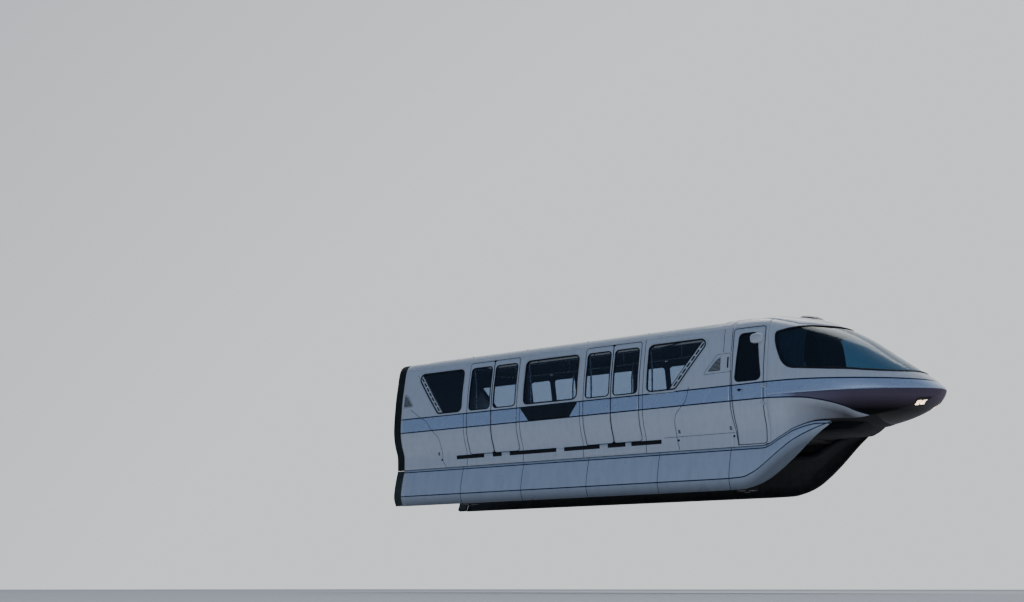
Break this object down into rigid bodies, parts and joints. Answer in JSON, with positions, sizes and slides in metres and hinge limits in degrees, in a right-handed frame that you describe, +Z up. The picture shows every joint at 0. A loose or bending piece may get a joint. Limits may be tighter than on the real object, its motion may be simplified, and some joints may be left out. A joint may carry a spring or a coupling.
{
  "type": "straddle-beam monorail end car",
  "caption": "Streamlined monorail end car that straddles a beam: saloon with plug doors, glazed nose cab, side skirts, rubber-tyred bogies and half of its bellows.",
  "frame": {"origin": "on the running surface of the beam, in the car's centre plane, midway between the two bogies", "axes": "+X forward to the nose, +Y to the car's left, +Z up"},
  "size_m": [12.302, 2.724, 3.435],
  "materials": {
    "white_paint": "gloss",
    "dark_paint": "gloss",
    "tinted_glass": "polished",
    "lamp_glass": "polished",
    "bellows_rubber": "matte",
    "tyre_rubber": "matte",
    "bogie_steel": "matte",
    "grey_frame": "satin",
    "grey_lining": "satin",
    "seat_fabric": "matte"
  },
  "bodies": {
    "car": {"side_wall_left": "white_paint", "side_wall_right": "white_paint", "roof": "white_paint", "floor_frame": "grey_frame", "front_wheel_housing": "grey_lining", "rear_wheel_housing": "grey_lining", "rear_door_rear_leaf_left": "white_paint", "rear_door_front_leaf_left": "white_paint", "front_door_rear_leaf_left": "white_paint", "front_door_front_leaf_left": "white_paint", "rear_door_rear_leaf_right": "white_paint", "rear_door_front_leaf_right": "white_paint", "front_door_rear_leaf_right": "white_paint", "front_door_front_leaf_right": "white_paint", "rear_window_pane_left": "tinted_glass", "centre_window_pane_left": "tinted_glass", "front_window_pane_left": "tinted_glass", "rear_window_pane_right": "tinted_glass", "centre_window_pane_right": "tinted_glass", "front_window_pane_right": "tinted_glass", "cab_shell": "white_paint", "nose_underside": "dark_paint", "windscreen": "tinted_glass", "headlamp_left": "lamp_glass", "headlamp_right": "lamp_glass", "skirt_left": "white_paint", "skirt_right": "white_paint", "bellows": "bellows_rubber", "drawbar": "bogie_steel", "bench_front": "seat_fabric", "bench_rear": "seat_fabric", "bench_centre": "seat_fabric", "console": "grey_lining", "driver_seat": "seat_fabric"},
    "cab_door_left": {"cab_door_left": "white_paint", "cab_door_pane_left": "tinted_glass", "mirror_pod_left": "white_paint"},
    "cab_door_right": {"cab_door_right": "white_paint", "cab_door_pane_right": "tinted_glass", "mirror_pod_right": "white_paint"},
    "front_bogie": {"front_bogie_frame": "bogie_steel"},
    "front_axle": {"front_axle_and_tyres": "tyre_rubber"},
    "front_bogie_front_guide_left": {"front_bogie_front_guide_wheel_left": "tyre_rubber"},
    "front_bogie_front_guide_right": {"front_bogie_front_guide_wheel_right": "tyre_rubber"},
    "front_bogie_rear_guide_left": {"front_bogie_rear_guide_wheel_left": "tyre_rubber"},
    "front_bogie_rear_guide_right": {"front_bogie_rear_guide_wheel_right": "tyre_rubber"},
    "front_bogie_stabiliser_left": {"front_bogie_stabiliser_wheel_left": "tyre_rubber"},
    "front_bogie_stabiliser_right": {"front_bogie_stabiliser_wheel_right": "tyre_rubber"},
    "rear_bogie": {"rear_bogie_frame": "bogie_steel"},
    "rear_axle": {"rear_axle_and_tyres": "tyre_rubber"},
    "rear_bogie_front_guide_left": {"rear_bogie_front_guide_wheel_left": "tyre_rubber"},
    "rear_bogie_front_guide_right": {"rear_bogie_front_guide_wheel_right": "tyre_rubber"},
    "rear_bogie_rear_guide_left": {"rear_bogie_rear_guide_wheel_left": "tyre_rubber"},
    "rear_bogie_rear_guide_right": {"rear_bogie_rear_guide_wheel_right": "tyre_rubber"},
    "rear_bogie_stabiliser_left": {"rear_bogie_stabiliser_wheel_left": "tyre_rubber"},
    "rear_bogie_stabiliser_right": {"rear_bogie_stabiliser_wheel_right": "tyre_rubber"}
  },
  "joints": [
    {"name": "cab_door_left_hinge", "type": "hinge", "parent": "car", "child": "cab_door_left", "pos_m": [4.84, 1.326, 1], "axis": [0, 0, -1], "range_deg": [0, 75]},
    {"name": "cab_door_right_hinge", "type": "hinge", "parent": "car", "child": "cab_door_right", "pos_m": [4.84, -1.326, 1], "axis": [0, 0, 1], "range_deg": [0, 75]},
    {"name": "front_bogie_yaw", "type": "hinge", "parent": "car", "child": "front_bogie", "pos_m": [3.61, 0, 0.48], "axis": [0, 0, 1], "range_deg": [-3, 3]},
    {"name": "rear_bogie_yaw", "type": "hinge", "parent": "car", "child": "rear_bogie", "pos_m": [-3.61, 0, 0.48], "axis": [0, 0, 1], "range_deg": [-3, 3]},
    {"name": "front_axle_spin", "type": "hinge", "parent": "front_bogie", "child": "front_axle", "pos_m": [3.61, 0, 0.48], "axis": [0, 1, 0], "continuous": true},
    {"name": "rear_axle_spin", "type": "hinge", "parent": "rear_bogie", "child": "rear_axle", "pos_m": [-3.61, 0, 0.48], "axis": [0, 1, 0], "continuous": true},
    {"name": "front_bogie_front_guide_left_spin", "type": "hinge", "parent": "front_bogie", "child": "front_bogie_front_guide_left", "pos_m": [3.94, 0.55, -0.15], "axis": [0, 0, 1], "continuous": true},
    {"name": "front_bogie_front_guide_right_spin", "type": "hinge", "parent": "front_bogie", "child": "front_bogie_front_guide_right", "pos_m": [3.94, -0.55, -0.15], "axis": [0, 0, 1], "continuous": true},
    {"name": "front_bogie_rear_guide_left_spin", "type": "hinge", "parent": "front_bogie", "child": "front_bogie_rear_guide_left", "pos_m": [3.28, 0.55, -0.15], "axis": [0, 0, 1], "continuous": true},
    {"name": "front_bogie_rear_guide_right_spin", "type": "hinge", "parent": "front_bogie", "child": "front_bogie_rear_guide_right", "pos_m": [3.28, -0.55, -0.15], "axis": [0, 0, 1], "continuous": true},
    {"name": "front_bogie_stabiliser_left_spin", "type": "hinge", "parent": "front_bogie", "child": "front_bogie_stabiliser_left", "pos_m": [3.61, 0.55, -0.84], "axis": [0, 0, 1], "continuous": true},
    {"name": "front_bogie_stabiliser_right_spin", "type": "hinge", "parent": "front_bogie", "child": "front_bogie_stabiliser_right", "pos_m": [3.61, -0.55, -0.84], "axis": [0, 0, 1], "continuous": true},
    {"name": "rear_bogie_front_guide_left_spin", "type": "hinge", "parent": "rear_bogie", "child": "rear_bogie_front_guide_left", "pos_m": [-3.28, 0.55, -0.15], "axis": [0, 0, 1], "continuous": true},
    {"name": "rear_bogie_front_guide_right_spin", "type": "hinge", "parent": "rear_bogie", "child": "rear_bogie_front_guide_right", "pos_m": [-3.28, -0.55, -0.15], "axis": [0, 0, 1], "continuous": true},
    {"name": "rear_bogie_rear_guide_left_spin", "type": "hinge", "parent": "rear_bogie", "child": "rear_bogie_rear_guide_left", "pos_m": [-3.94, 0.55, -0.15], "axis": [0, 0, 1], "continuous": true},
    {"name": "rear_bogie_rear_guide_right_spin", "type": "hinge", "parent": "rear_bogie", "child": "rear_bogie_rear_guide_right", "pos_m": [-3.94, -0.55, -0.15], "axis": [0, 0, 1], "continuous": true},
    {"name": "rear_bogie_stabiliser_left_spin", "type": "hinge", "parent": "rear_bogie", "child": "rear_bogie_stabiliser_left", "pos_m": [-3.61, 0.55, -0.84], "axis": [0, 0, 1], "continuous": true},
    {"name": "rear_bogie_stabiliser_right_spin", "type": "hinge", "parent": "rear_bogie", "child": "rear_bogie_stabiliser_right", "pos_m": [-3.61, -0.55, -0.84], "axis": [0, 0, 1], "continuous": true}
  ]
}
